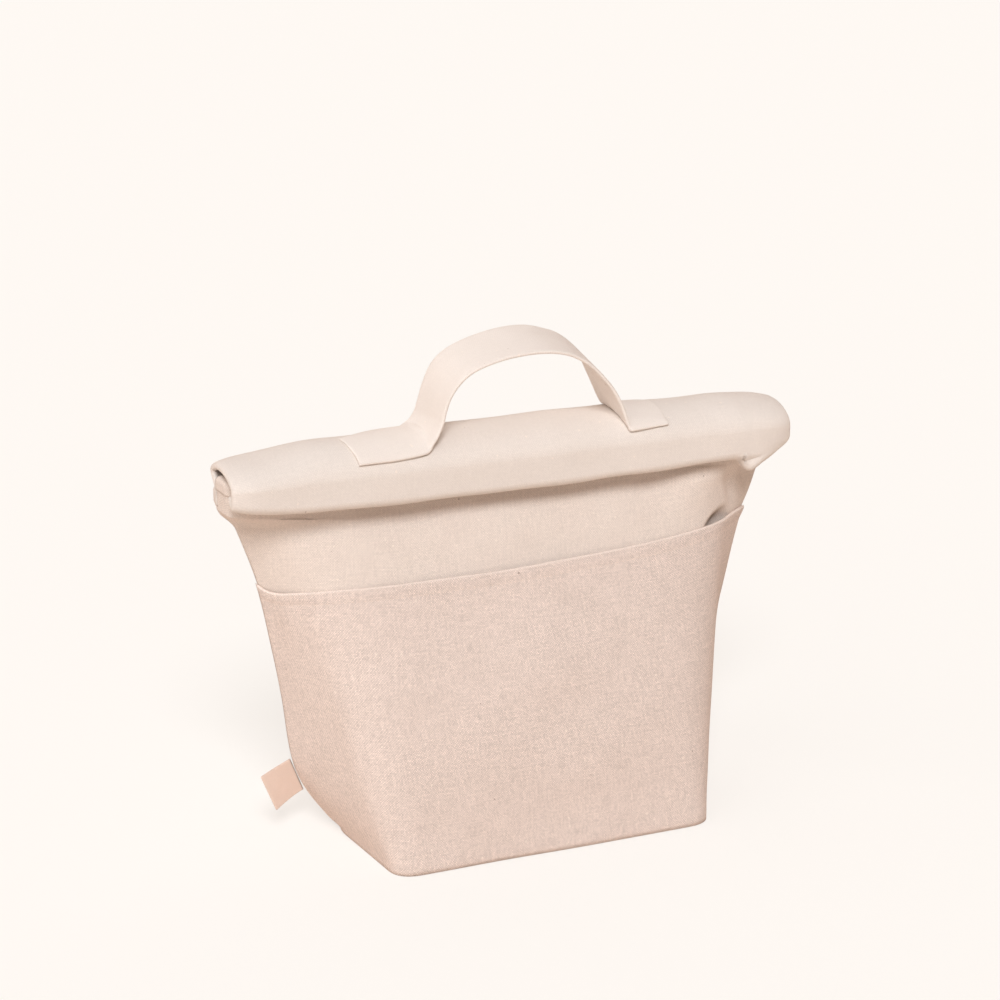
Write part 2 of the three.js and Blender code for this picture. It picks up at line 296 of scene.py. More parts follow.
def put(tree, kind, inputs=None, **settings):
    """New node with its settings, and its inputs set or linked."""
    made = tree.nodes.new(kind)
    for key, value in settings.items():
        setattr(made, key, value)
    for key, value in (inputs or {}).items():
        if isinstance(value, bpy.types.NodeSocket):
            tree.links.new(value, made.inputs[key])
        else:
            made.inputs[key].default_value = value
    return made


def maths(tree, operation, first, second=0.0, third=0.0):
    return put(tree, "ShaderNodeMath", {0: first, 1: second, 2: third}, operation=operation).outputs[0]


def vectors(tree, operation, first, second=(0, 0, 0)):
    return put(tree, "ShaderNodeVectorMath", {0: first, 1: second}, operation=operation).outputs[0]


def times(tree, vector, scale):
    return put(tree, "ShaderNodeVectorMath", {0: vector, "Scale": scale}, operation="SCALE").outputs[0]


def ranged(tree, value, low, high, to_low, to_high):
    """Value moved from one range into another."""
    return put(tree, "ShaderNodeMapRange", {0: value, 1: low, 2: high, 3: to_low, 4: to_high}).outputs[0]


def noise(tree, place, scale, detail):
    return put(tree, "ShaderNodeTexNoise", {"Vector": place, "Scale": scale, "Detail": detail})


def cloth_place(tree):
    """Place on the flat cloth, in metres."""
    return put(tree, "ShaderNodeUVMap", uv_map="cloth").outputs[0]


def set_relief(tree, shader, strength, distance, height):
    """Relief of a height on a shader's normal."""
    bump = put(tree, "ShaderNodeBump", {"Strength": strength, "Distance": distance, "Height": height})
    tree.links.new(bump.outputs[0], shader.inputs["Normal"])


def mix_colour(tree, share, first, second):
    """Mix of two colours, which are the node's sockets 6 and 7."""
    return put(tree, "ShaderNodeMix", {0: share, 6: first, 7: second}, data_type="RGBA").outputs[2]


def new_group(name, inputs, outputs):
    """Empty shader node group with named inputs and outputs. Returns it with its end nodes."""
    tree = bpy.data.node_groups.new(name, "ShaderNodeTree")
    for kind, label, value in inputs:
        socket = tree.interface.new_socket(label, in_out="INPUT", socket_type=kind)
        if value is not None:
            socket.default_value = value
    for kind, label in outputs:
        tree.interface.new_socket(label, in_out="OUTPUT", socket_type=kind)
    return tree, tree.nodes.new("NodeGroupInput"), tree.nodes.new("NodeGroupOutput")


def weave_group():
    """Plain weave: yarns over and under each other, a pitch apart. Its yarn tone is random from crossing
    to crossing, with painted shade between warp and weft.
    """
    tree, given, result = new_group(
        "plain_weave",
        [("NodeSocketVector", "Place", None), ("NodeSocketFloat", "Pitch", 0.0007)],
        [("NodeSocketFloat", "Height"), ("NodeSocketFloat", "Yarn Tone And Shade")],
    )
    place = given.outputs["Place"]
    wobble = noise(tree, place, 180.0, 1.0).outputs["Color"]
    uneven = vectors(tree, "ADD", place, vectors(tree, "MULTIPLY", wobble, (0.0012, 0.0012, 0)))
    in_yarns = times(tree, uneven, maths(tree, "DIVIDE", 1.0, given.outputs["Pitch"]))
    over = put(tree, "ShaderNodeTexChecker", {"Vector": in_yarns, "Scale": 1.0}).outputs["Fac"]
    yarn = put(tree, "ShaderNodeSeparateXYZ", {0: in_yarns})
    bands = []
    for axis in ("X", "Y"):
        turned = maths(tree, "MULTIPLY", yarn.outputs[axis], np.pi)
        bands.append(maths(tree, "ABSOLUTE", maths(tree, "SINE", turned)))
    crowns = [maths(tree, "MULTIPLY_ADD", band, 0.35, 0.65) for band in bands]
    warp = maths(tree, "MULTIPLY", bands[0], crowns[1])
    weft = maths(tree, "MULTIPLY", bands[1], crowns[0])
    height = put(tree, "ShaderNodeMix", {0: over, 2: weft, 3: warp})
    tree.links.new(height.outputs[0], result.inputs["Height"])
    crossing = vectors(tree, "FLOOR", in_yarns)
    chance = put(tree, "ShaderNodeTexWhiteNoise", {"Vector": crossing}, noise_dimensions="2D")
    # Painted shade: crossings with the warp on top are painted lighter than those with the weft on top;
    # the rest of the yarn tone is random.
    painted_cross_shade = maths(tree, "MULTIPLY", over, 0.5)
    tone_and_shade = maths(tree, "MULTIPLY_ADD", chance.outputs["Value"], 0.5, painted_cross_shade)
    tree.links.new(tone_and_shade, result.inputs["Yarn Tone And Shade"])
    return tree


def slub_group():
    """Uneven yarns: long thin streaks along both directions of the weave."""
    tree, given, result = new_group(
        "yarn_slubs",
        [("NodeSocketVector", "Place", None)],
        [("NodeSocketFloat", "Streaks")],
    )
    streaks = []
    for stretch in ((1300, 70, 0), (70, 1300, 0)):
        placed = vectors(tree, "MULTIPLY", given.outputs["Place"], stretch)
        streaks.append(noise(tree, placed, 1.0, 2.0).outputs["Fac"])
    total = maths(tree, "ADD", streaks[0], streaks[1])
    tree.links.new(maths(tree, "MULTIPLY", total, 0.5), result.inputs["Streaks"])
    return tree


def fleck_group():
    """Sparse seed flecks: small spots, one in some of the cells of a net."""
    tree, given, result = new_group(
        "seed_flecks",
        [
            ("NodeSocketVector", "Place", None),
            ("NodeSocketFloat", "Cell", 0.006),
            ("NodeSocketFloat", "Size", 0.0004),
            ("NodeSocketFloat", "Share", 0.3),
        ],
        [("NodeSocketFloat", "Spots")],
    )
    per_cell = maths(tree, "DIVIDE", 1.0, given.outputs["Cell"])
    net = put(tree, "ShaderNodeTexVoronoi", {"Vector": given.outputs["Place"], "Scale": per_cell})
    chance = put(tree, "ShaderNodeSeparateColor", {0: net.outputs["Color"]})
    away = maths(tree, "MULTIPLY", net.outputs["Distance"], given.outputs["Cell"])
    reach = maths(tree, "MULTIPLY", given.outputs["Size"], chance.outputs["Green"])
    spot = maths(tree, "LESS_THAN", away, reach)
    chosen = maths(tree, "LESS_THAN", chance.outputs["Red"], given.outputs["Share"])
    tree.links.new(maths(tree, "MULTIPLY", spot, chosen), result.inputs["Spots"])
    return tree


WEAVE = weave_group()
SLUBS = slub_group()
FLECKS = fleck_group()


def new_material(name, roughness, **sockets):
    """Material with its shader, whose plain values are set on the shader's own sockets."""
    material = bpy.data.materials.new(name)
    material.use_nodes = True
    shader = material.node_tree.nodes["Principled BSDF"]
    shader.inputs["Roughness"].default_value = roughness
    for key, value in sockets.items():
        shader.inputs[key.replace("_", " ")].default_value = value
    return material, material.node_tree, shader


def from_group(tree, group, **inputs):
    return put(tree, "ShaderNodeGroup", inputs, node_tree=group)


WARM_NAP = tint(240, 200, 176)
# Pale colour of the painted highlight on lit fold edges.
PAINTED_EDGE_HIGHLIGHT = tint(250, 236, 226)
PALE_FLECK = tint(250, 238, 226)
SEED_FLECK = tint(122, 92, 74)


def canvas_material(name, colour, shade, seed_place, grain_and_shade):
    """Unbleached cotton canvas: plain weave of a strength of grain and shade, its hollows painted in
    shade, uneven yarns, cloudy tone, yarn tone random from crossing to crossing with painted shade between
    warp and weft, seed flecks, and a painted highlight where a piece's points carry one (the pocket hem's
    top edge)."""
    material, tree, shader = new_material(
        name, 0.92, Sheen_Weight=0.18, Sheen_Roughness=0.5, Sheen_Tint=WARM_NAP, Specular_IOR_Level=0.2
    )
    place = vectors(tree, "ADD", cloth_place(tree), seed_place)
    weave = from_group(tree, WEAVE, Place=place)
    streaks = from_group(tree, SLUBS, Place=place).outputs["Streaks"]
    dark = from_group(tree, FLECKS, Place=place, Cell=0.008, Size=0.0006, Share=0.4)
    far_place = vectors(tree, "ADD", place, (0.37, 0.61, 0))
    light = from_group(tree, FLECKS, Place=far_place, Cell=0.0045, Size=0.0007, Share=0.5)
    tone = mix_colour(tree, noise(tree, place, 45.0, 3.0).outputs["Fac"], shade, colour)
    level = 1.0
    for value, low, high, darker, lighter in (
        (streaks, 0.35, 0.65, 0.08, 0.08),
        # Painted shade: darker in the weave's hollows, lighter on its crowns.
        (weave.outputs["Height"], 0.0, 1.0, 0.24, 0.12),
        # Random tone from crossing to crossing, and painted shade between warp and weft.
        (weave.outputs["Yarn Tone And Shade"], 0.0, 1.0, 0.19, 0.19),
    ):
        part = ranged(tree, value, low, high, 1 - darker * grain_and_shade, 1 + lighter * grain_and_shade)
        level = maths(tree, "MULTIPLY", level, part)
    # Painted highlight: a pale colour mixed in by each point's share, along the pocket hem's lit top edge.
    highlight_share = put(tree, "ShaderNodeAttribute", attribute_name="edge_highlight_share").outputs["Fac"]
    with_highlight = mix_colour(tree, highlight_share, times(tree, tone, level), PAINTED_EDGE_HIGHLIGHT)
    light_share = maths(tree, "MULTIPLY", light.outputs["Spots"], 0.5)
    with_light = mix_colour(tree, light_share, with_highlight, PALE_FLECK)
    dark_share = maths(tree, "MULTIPLY", dark.outputs["Spots"], 0.55)
    with_dark = mix_colour(tree, dark_share, with_light, SEED_FLECK)
    tree.links.new(with_dark, shader.inputs["Base Color"])
    tree.links.new(ranged(tree, streaks, 0.3, 0.7, 0.86, 0.97), shader.inputs["Roughness"])
    relief = maths(tree, "MULTIPLY_ADD", streaks, 0.5, weave.outputs["Height"])
    set_relief(tree, shader, 0.6, 0.00018, relief)
    return material


canvas = canvas_material(
    "flecked_canvas", tint(232, 220, 210), tint(226, 212, 202), seed_place=(0.0, 0.0, 0.0), grain_and_shade=0.6
)
pocket_canvas = canvas_material(
    "pocket_canvas", tint(229, 213, 204), tint(223, 207, 197), seed_place=(1.3, 0.7, 0.0), grain_and_shade=1.1
)
roll_canvas = canvas_material(
    "roll_canvas", tint(235, 227, 220), tint(231, 222, 214), seed_place=(2.9, 1.9, 0.0), grain_and_shade=0.25
)
strap_canvas = canvas_material(
    "strap_canvas", tint(241, 233, 226), tint(237, 228, 220), seed_place=(4.1, 3.3, 0.0), grain_and_shade=0.15
)


def foil_material():
    """Silver insulating film, finely creased."""
    material, tree, shader = new_material("silver_film", 0.3, Metallic=0.85)
    place = cloth_place(tree)
    creases = put(
        tree, "ShaderNodeTexVoronoi", {"Vector": place, "Scale": 70.0}, feature="DISTANCE_TO_EDGE"
    )
    cloud = noise(tree, place, 120.0, 4.0).outputs["Fac"]
    tone = mix_colour(tree, cloud, tint(176, 180, 184), tint(214, 217, 220))
    tree.links.new(tone, shader.inputs["Base Color"])
    tree.links.new(ranged(tree, cloud, 0.3, 0.7, 0.22, 0.42), shader.inputs["Roughness"])
    ridge = ranged(tree, creases.outputs["Distance"], 0.0, 0.2, 0.0, 1.0)
    set_relief(tree, shader, 0.7, 0.0007, maths(tree, "MULTIPLY_ADD", cloud, 0.8, ridge))
    return material


def foam_material():
    """Closed-cell sheet foam."""
    material, tree, shader = new_material("sheet_foam", 0.9)
    cells = put(tree, "ShaderNodeTexVoronoi", {"Vector": cloth_place(tree), "Scale": 900.0})
    tone = mix_colour(tree, cells.outputs["Distance"], tint(246, 243, 236), tint(226, 222, 213))
    tree.links.new(tone, shader.inputs["Base Color"])
    set_relief(tree, shader, 0.5, 0.0003, cells.outputs["Distance"])
    return material


def pile_material(name, scale, colour, tuft_shade):
    """Hook or loop pile of a fastening strip, painted in shade between its tufts."""
    material, tree, shader = new_material(name, 0.95, Sheen_Weight=0.4)
    place = cloth_place(tree)
    pile = put(tree, "ShaderNodeTexVoronoi", {"Vector": place, "Scale": scale}).outputs["Distance"]
    fuzz = noise(tree, place, scale, 4.0).outputs["Fac"]
    # Painted shade: the second colour darkens the pile between its tufts.
    tree.links.new(mix_colour(tree, pile, colour, tuft_shade), shader.inputs["Base Color"])
    set_relief(tree, shader, 0.9, 0.0005, maths(tree, "SUBTRACT", fuzz, pile))
    return material


def label_material():
    """Smooth woven tape: a fine weave, its hollows painted in shade, and a cloudy tone."""
    material, tree, shader = new_material("label_tape", 0.75, Sheen_Weight=0.15, Specular_IOR_Level=0.3)
    place = cloth_place(tree)
    height = from_group(tree, WEAVE, Place=place, Pitch=0.0003).outputs["Height"]
    cloud = noise(tree, place, 220.0, 3.0).outputs["Fac"]
    tone = mix_colour(tree, cloud, tint(226, 201, 185), tint(232, 210, 196))
    # Painted shade: darker in the weave's hollows.
    toned = times(tree, tone, ranged(tree, height, 0.0, 1.0, 0.92, 1.03))
    tree.links.new(toned, shader.inputs["Base Color"])
    set_relief(tree, shader, 0.5, 0.0001, height)
    return material


def thread_material():
    """Twisted sewing thread, painted in shade in the grooves of its twist."""
    material, tree, shader = new_material("sewing_thread", 0.8, Sheen_Weight=0.2)
    spiral = {"Vector": cloth_place(tree), "Scale": 900.0}
    twist = put(tree, "ShaderNodeTexWave", spiral, bands_direction="DIAGONAL").outputs["Fac"]
    # Painted shade: darker in the twist's grooves, lighter on its ridges.
    tone = mix_colour(tree, twist, tint(222, 198, 181), tint(240, 222, 208))
    tree.links.new(tone, shader.inputs["Base Color"])
    set_relief(tree, shader, 0.6, 0.0001, twist)
    return material


silver_film = foil_material()
sheet_foam = foam_material()
# Second colour of each pile: painted shade between its tufts.
hook_pile = pile_material("hook_pile", 1100.0, tint(226, 208, 194), tint(176, 152, 136))
loop_pile = pile_material("loop_pile", 700.0, tint(232, 214, 200), tint(196, 172, 156))
label_tape = label_material()
sewing_thread = thread_material()


# Body walls
def plan_half(z, end):
    """Half the bag's outline at a height, from the middle of a wall to the seam at one end of the
    bag. It widens from the base to the neck, and the collar above has corners of its own."""
    start, full, flare, inset_corner, end_radius = COLLAR_ENDS[end]
    t = min(z / NECK_HEIGHT, 1)
    spread = float(curve(SEAM_FLARE[end.split("_")[0]], t))
    seam = (BASE_WIDTH + (NECK_WIDTH - BASE_WIDTH) * spread) / 2
    depth = (BASE_DEPTH + (NECK_DEPTH - BASE_DEPTH) * t) / 2 + WALL_BULGE * 4 * t * (1 - t)
    collar = float(smooth(z, start, full))
    seam += flare * collar
    corner = (BASE_CORNER + (NECK_CORNER - BASE_CORNER) * t) / 2
    corner += (seam - inset_corner - corner) * collar
    radius = BASE_CORNER_RADIUS + (NECK_CORNER_RADIUS - BASE_CORNER_RADIUS) * t
    radius += (end_radius - radius) * collar
    run = seam - corner
    slant = np.hypot(run, depth)
    below = max(BASE_EDGE - z, 0)
    inset = BASE_EDGE - np.sqrt(BASE_EDGE**2 - below**2)
    y = depth - inset
    seam_point = np.array([seam - inset * slant / depth, 0.0])
    corner_point = np.array([seam_point[0] - run * y / depth, y])
    bend_start = corner_point + (seam_point - corner_point) * radius / (radius + slant)
    bend_end = np.array([corner_point[0] - radius, y])
    s = np.linspace(0, 1, 24)[:, None]
    bend = (1 - s) ** 2 * bend_end + 2 * s * (1 - s) * corner_point + s**2 * bend_start
    middle = np.array([0.0, y])
    flat = middle + np.linspace(0, 1, 20)[:-1, None] * (bend_end - middle)
    side = bend_start + np.linspace(0, 1, 20)[1:, None] * (seam_point - bend_start)
    return np.concatenate([flat, bend, side])


def along_half(z, end, shares, trim):
    """Points of half the outline at shares of its run, less a trim at the seam."""
    half = plan_half(z, end)
    run = path_run(half)
    at = np.abs(shares) * (run[-1] - trim)
    return np.stack([np.interp(at, run, half[:, 0]), np.interp(at, run, half[:, 1])], -1)


def plan_row(z, shares, trim=0.0, layers="outer"):
    """Outline at a height by shares of its run, from the left seam (-1) to the right seam (1)."""
    left = along_half(z, "left_" + layers, shares, trim) * (-1, 1)
    right = along_half(z, "right_" + layers, shares, trim)
    return np.where(shares[:, None] < 0, left, right)


def wall(side, shares, heights, layers):
    """Face of the front (side -1) or back (side 1) wall: rows of points, left to right."""
    rows = []
    for z in heights:
        x, y = plan_row(z, shares, layers=layers).T
        rows.append(np.stack([x, side * (y + SEAM_GAP), np.full(len(shares), float(z))], -1))
    return np.array(rows)


def outward(grid, side):
    """Normals of a wall that point out of the bag."""
    n = normals(grid)
    return n if n[len(n) // 2, n.shape[1] // 2, 1] * side > 0 else -n


def at_heights(grid, heights):
    """Points where each column of a wall crosses its own heights."""
    out = np.empty((len(heights), grid.shape[1], 3))
    for j in range(grid.shape[1]):
        for k in range(3):
            out[:, j, k] = np.interp(heights[:, j], grid[:, j, 2], grid[:, j, k])
    return out


# Columns of the walls, close together at the gape, and their rows, close together at the collar
shares = np.concatenate([
    np.linspace(-1, 0.7, 190)[:-1], np.linspace(0.7, 0.94, 140)[:-1], np.linspace(0.94, 1, 10),
])
COLUMNS = len(shares)
wall_heights = np.concatenate([
    np.linspace(0.2, 6, 16), np.linspace(8, 176, 122),
    np.linspace(176.4, 200, 60), np.linspace(201, 211, 11),
])
share_grid, height_grid = np.meshgrid(shares, wall_heights)


def shaped_wall(side, folds, layers="outer"):
    """Wall grid moved out by its folds, in millimetres."""
    grid = wall(side, shares, wall_heights, layers)
    return grid + outward(grid, side) * folds[..., None]


# Folds of the walls, in millimetres outward
middle_share = np.cos(np.pi / 2 * share_grid) ** 2
soft = middle_share * smooth(height_grid, 4, 30)
below_collar = 1 - smooth(height_grid, 182, 196)
front_belly = 3.0 * middle_share * hump(height_grid, 140, 60) * below_collar
front_ripple = 0.5 * ripple(share_grid * HALF_WALL, height_grid, 3, 70) * soft * below_collar
right_swell = 4.0 * hump(share_grid, 0.7, 0.1) * hump(height_grid, 182, 13)
crease_place = share_grid - 0.0037 * (185 - height_grid)
right_crease = 2.2 * hump(crease_place, 0.8, 0.035) * hump(height_grid, 174, 11)
foot_dent = 2.1 * hump(share_grid, 0.67, 0.15) * hump(height_grid, 25, 38)
roll_reach = smooth(share_grid, -0.92, -0.65) * (1 - smooth(share_grid, 0.45, 0.62))
under_roll = 3.2 * hump(height_grid, 186, 10) * roll_reach
front_folds = front_belly + front_ripple + right_swell - right_crease - foot_dent - under_roll
back_belly = 2.0 * middle_share * hump(height_grid, 100, 70) * below_collar
back_ripple = 0.7 * ripple(share_grid * HALF_WALL, height_grid, 11, 75) * soft * below_collar
back_folds = back_belly + back_ripple

gape_top = curve(GAPE_TOP, share_grid)
gape_reach = smooth(share_grid, 0.69, 0.77) * (1 - smooth(share_grid, 0.79, 0.92))
gape_reach *= smooth(height_grid, 110, 140)
pocket_gape = GAPE_DEPTH * gape_reach * smooth(gape_top + 3 - height_grid, 0, 9)
# Padding and lining keep behind the gape, and clear of the seams.
behind_gape = PADDING_DENT * smooth(share_grid, 0.58, 0.72) * (1 - smooth(share_grid, 0.86, 1))
behind_gape *= smooth(height_grid, 90, 130) * smooth(gape_top + 10 - height_grid, 0, 14)
near_seams = 1.5 * smooth(np.abs(share_grid), 0.75, 0.95) * smooth(height_grid, 160, 185)
front_wall = shaped_wall(-1, front_folds - pocket_gape)
inner_front_wall = shaped_wall(-1, front_folds - behind_gape - near_seams, "inner")
back_wall = shaped_wall(1, back_folds)
inner_back_wall = shaped_wall(1, back_folds - near_seams, "inner")


def layer(grid, side, depth, heights, columns=slice(None)):
    """Middle points of a wall's layer at a depth below its outer face."""
    placed = at_heights(grid, np.repeat(heights[:, None], grid.shape[1], 1))
    inner = placed - outward(placed, side) * depth
    inner[..., 1] = side * np.maximum(side * inner[..., 1], SEAM_GAP + 0.1 * depth)
    return inner[:, columns]


# Columns of the layers inside the walls, which end short of the seams, and of the base's sheets
INNER_COLUMNS = slice(3, -5, 2)
BASE_COLUMNS = slice(2, -2, 2)
front_rows = np.concatenate([
    spaced(0.9, 176, 1.8, 0.6), np.linspace(176.6, 198.2, 55), spaced(198.8, LIP_TOP, 1.8, 0.6),
])
back_rows = spaced(0.9, BACK_TOP, 1.8, 0.6)
front_panel = cloth("front_panel_cloth", layer(front_wall, -1, CANVAS / 2, front_rows), CANVAS / 2, canvas)
back_panel = cloth("back_panel_cloth", layer(back_wall, 1, CANVAS / 2, back_rows), CANVAS / 2, canvas)
padding_depth = FOAM_DEPTH + FOAM / 2
lining_depth = LINING_DEPTH + LINING / 2


def padding(name, grid, side, top):
    """Padding of a wall, up to a height."""
    middle = layer(grid, side, padding_depth, spaced(6, top, 4, 0.6), INNER_COLUMNS)
    return cloth(name, middle, FOAM / 2 - 0.1, sheet_foam)


def lining(name, grid, side, top):
    """Lining film of a wall, up to a height."""
    middle = layer(grid, side, lining_depth, spaced(5.6, top, 3, 0.6), INNER_COLUMNS)
    return cloth(name, middle, LINING / 2, silver_film)


front_padding = padding("front_padding", inner_front_wall, -1, LIP_TOP - 1)
back_padding = padding("back_padding", inner_back_wall, 1, BACK_TOP)
front_lining = lining("front_lining_film", inner_front_wall, -1, LIP_TOP)
back_lining = lining("back_lining_film", inner_back_wall, 1, BACK_TOP)


def base_sheet(name, inset, height, thickness, material):
    """Flat sheet inside the walls' foot, at a height above the floor."""
    foot_rows = spaced(1.3, 8, 3, 0.6)
    front_foot = layer(front_wall, -1, inset, foot_rows, BASE_COLUMNS)[0]
    back_foot = layer(back_wall, 1, inset, foot_rows, BASE_COLUMNS)[0]
    s = spaced(0, 1, 0.03, thickness / BASE_DEPTH)[:, None, None]
    middle = front_foot + s * (back_foot - front_foot)
    middle[..., 2] = height
    return cloth(name, middle, thickness / 2, material)


base_panel = base_sheet("base_cloth", 0.6, 0.65, CANVAS, canvas)
base_padding = base_sheet("base_padding", LINING_DEPTH + 0.4, padding_depth, FOAM - 0.2, sheet_foam)
base_lining = base_sheet("base_lining_film", LINING_DEPTH + 0.2, lining_depth, LINING, silver_film)


# Front pocket
def pocket_rows():
    """Heights of the pocket's rows at each column: close together at the hem."""
    edge = curve(POCKET_EDGE, shares)
    near = np.concatenate([[0, 0.1, 0.35, 0.8], np.arange(1.3, 10, 0.45)])
    below = np.concatenate([near, np.linspace(10.5, edge.max() - POCKET_FOOT, 60)])[::-1]
    reach = (edge - POCKET_FOOT) / (edge.max() - POCKET_FOOT)
    return edge[None, :] - below[:, None] * reach[None, :], below


pocket_heights, below_edge = pocket_rows()
straight_drop = 3.2 * (1 - smooth(np.abs(shares), 0.88, 0.99))
plain_front = at_heights(shaped_wall(-1, front_folds), np.maximum(pocket_heights, straight_drop))
plain_front[..., 2] = pocket_heights
pocket_share = np.repeat(shares[None, :], len(pocket_heights), 0)
swell = np.cos(np.pi / 2 * pocket_share) ** 2 * (1 - 0.55 * smooth(pocket_share, 0.4, 0.7))
belly = smooth(pocket_heights, 2, 70) * (1 - 0.72 * smooth(pocket_heights, 85, 148))
pocket_ripple = 0.35 * ripple(pocket_share * HALF_WALL, pocket_heights, 5, 60) * swell
stand_off = POCKET_GAP + POCKET_BELLY * swell * belly + pocket_ripple
stand_off += POCKET_LEFT_LIFT * hump(pocket_share, -0.9, 0.06) * smooth(pocket_heights, 110, 140)
stitch_dent = -0.06 * hump(below_edge, POCKET_HEM, 0.6)[:, None]
pocket_middle = plain_front + outward(plain_front, -1) * (stand_off + stitch_dent)[..., None]
pocket_half = CANVAS / 2 + CANVAS / 2 * (1 - smooth(below_edge, POCKET_HEM - 4, POCKET_HEM + 1))[:, None]
# Painted highlight along the hem's top edge, where it takes the light.
hem_highlight = 0.5 * (1 - smooth(below_edge, 0.3, 1.3))[:, None]
pocket = cloth(
    "pocket_cloth", pocket_middle, pocket_half, pocket_canvas, square=("first",), painted_highlight=hem_highlight
)


def stitch_row(name, path, out, length, gap, radius):
    """Row of stitches along a path, each a short bowed thread that rises out of the cloth."""
    run = path_run(path)
    starts = np.arange(gap, run[-1] - length, length + gap)
    points, faces, places = [], [], []
    # Places along a stitch, with shares of its thickness, and the thread's sides.
    stations = ((0, 0.35), (0.15, 0.8), (0.5, 1), (0.85, 0.8), (1, 0.35))
    sides = 6
    ring = 2 * np.pi * np.arange(sides) / sides

    def on_run(values, at):
        return np.array([np.interp(at, run, values[:, k]) for k in range(3)])

    for start in starts:
        first = len(points)
        for share, thick in stations:
            at = start + share * length
            centre = on_run(path, at)
            up = on_run(out, at)
            ahead = on_run(path, at + 0.3) - centre
            side = np.cross(ahead, up)
            side /= np.linalg.norm(side)
            centre = centre + up * radius * (0.9 * np.sin(np.pi * share) - 0.45)
            for angle in ring:
                points.append(centre + radius * thick * (np.cos(angle) * side + np.sin(angle) * up))
                places.append((at, radius * angle))
        last = first + (len(stations) - 1) * sides
        for row in range(first, last, sides):
            for m in range(sides):
                a = row + m
                b = row + (m + 1) % sides
                faces.append([a, b, b + sides, a + sides])
        faces.append([first + m for m in reversed(range(sides))])
        faces.append([last + m for m in range(sides)])
    return mesh_object(name, np.array(points), faces, np.array(places), sewing_thread)


hem_row = int(np.argmin(np.abs(below_edge - POCKET_HEM)))
hem_out = outward(pocket_middle, -1)[hem_row]
hem_path = pocket_middle[hem_row] + hem_out * CANVAS / 2
pocket_stitches = stitch_row(
    "pocket_hem_stitches", hem_path, hem_out, STITCH_LENGTH, STITCH_GAP, THREAD_RADIUS
)


# Rolled top
def roll_profile(x):
    """Section of the roll at one place along it: outer points in y and z from the back, over the
    top and down the front, to the curl and the flap's end."""
    half_length = ROLL_LENGTH / 2
    fat = 1 - (x / half_length) ** 2
    left_end = float(smooth(-x, 105, half_length))
    right_end = float(smooth(x, 118, half_length))
    left_tip = float(smooth(-x, 120, half_length))
    sag = FRONT_SAG * fat - ENDS_LESS_SAG - LEFT_LESS_SAG * left_tip + float(curve(ROLL_TAIL, x))
    rise = ROLL_HALF_HEIGHT + ROLL_RISE * fat - (LEFT_DROOP * left_end + RIGHT_DROOP * right_end)
    angle = np.radians(np.linspace(0, 180, OVER_POINTS))
    over = [ROLL_MID_Y + ROLL_HALF_DEPTH * np.cos(angle), ROLL_MID_Z + rise * np.sin(angle)]
    turn = np.radians(np.linspace(180, 360, CURL_POINTS))
    curl_y = FLAP_END_FACE + CURL_RADIUS * (np.cos(turn) - 1)
    curl_z = ROLL_FRONT_END - sag + CURL_RADIUS * np.sin(turn)
    curl = [curl_y, curl_z]
    return np.concatenate([np.stack(over, -1), np.stack(curl, -1), [[FLAP_END_FACE, FLAP_END + 1]]])


def roll_grid(from_share, to_share, count, places):
    """Outer face of the roll between two shares of its section's length: rows along the section."""
    columns = []
    for x in places:
        section = roll_profile(x)
        run = path_run(section)
        at = np.interp(np.linspace(from_share, to_share, count), [0, 1], [0, run[-1]])
        y, z = (np.interp(at, run, section[:, k]) for k in (0, 1))
        columns.append(np.stack([np.full(count, x), y, z], -1))
    return np.stack(columns, 1)


def into_roll(grid):
    """Normals of the roll that point to its inside."""
    n = normals(grid)
    return n if n[0, n.shape[1] // 2, 1] < 0 else -n


# Columns of the roll, close together at its tail
even_x = spaced(-ROLL_LENGTH / 2 - 0.6, ROLL_LENGTH / 2 - 1.5, 2.6, ROLL_THICK / 2)
roll_x = np.concatenate([even_x[even_x < 122], np.arange(122.5, 155, 0.9), even_x[even_x > 155.5]])


def round_end(grid):
    """Draws the roll's section in towards its middle at both ends, more at the right."""
    x = grid[..., 0]
    right = np.clip((x - (ROLL_LENGTH / 2 - RIGHT_ROUND)) / RIGHT_ROUND, 0, 1)
    left = np.clip((-x - (ROLL_LENGTH / 2 - LEFT_ROUND)) / LEFT_ROUND, 0, 1)
    keep = np.minimum(
        np.sqrt(1 - RIGHT_ROUND_SHARE * right**2), np.sqrt(1 - LEFT_ROUND_SHARE * left**2)
    )
    out = grid.copy()
    out[..., 0] -= TAIL_INSET * smooth(x, 125, 163) * smooth(205 - grid[..., 2], 0, 10)
    out[..., 1] = ROLL_MID_Y + (grid[..., 1] - ROLL_MID_Y) * keep
    out[..., 2] = ROLL_MID_Z - ROUND_BELOW + (grid[..., 2] - ROLL_MID_Z + ROUND_BELOW) * keep
    return out


def tail_hollow(grid):
    """How far the cloth is pressed back in the hollow of the roll's tail."""
    x, y, z = grid[..., 0], grid[..., 1], grid[..., 2]
    right_side = 144.6 - 0.9 * (196.5 - z)
    across = smooth(x, 126, 131) * (1 - smooth(x - right_side, -7, 2))
    return HOLLOW_DEPTH * across * smooth(198.4 - z, 0, 3.5) * smooth(-y, 20, 27)


def roll_layer(from_share, to_share, count, places, depth, clear=0.0):
    """Middle points of a layer of the roll at a depth below its outer face, clear of the hollow."""
    grid = roll_grid(from_share, to_share, count, places)
    inward = into_roll(grid)
    uneven = 0.45 * ripple(grid[..., 0], np.linspace(0, 110, count)[:, None], 21, 55)
    ends = 1 - smooth(np.abs(grid[..., 0]), 140, 160)
    placed = grid + inward * (depth - uneven * ends)[..., None]
    placed[..., 1] += (1 + clear) * tail_hollow(placed)
    return round_end(placed)


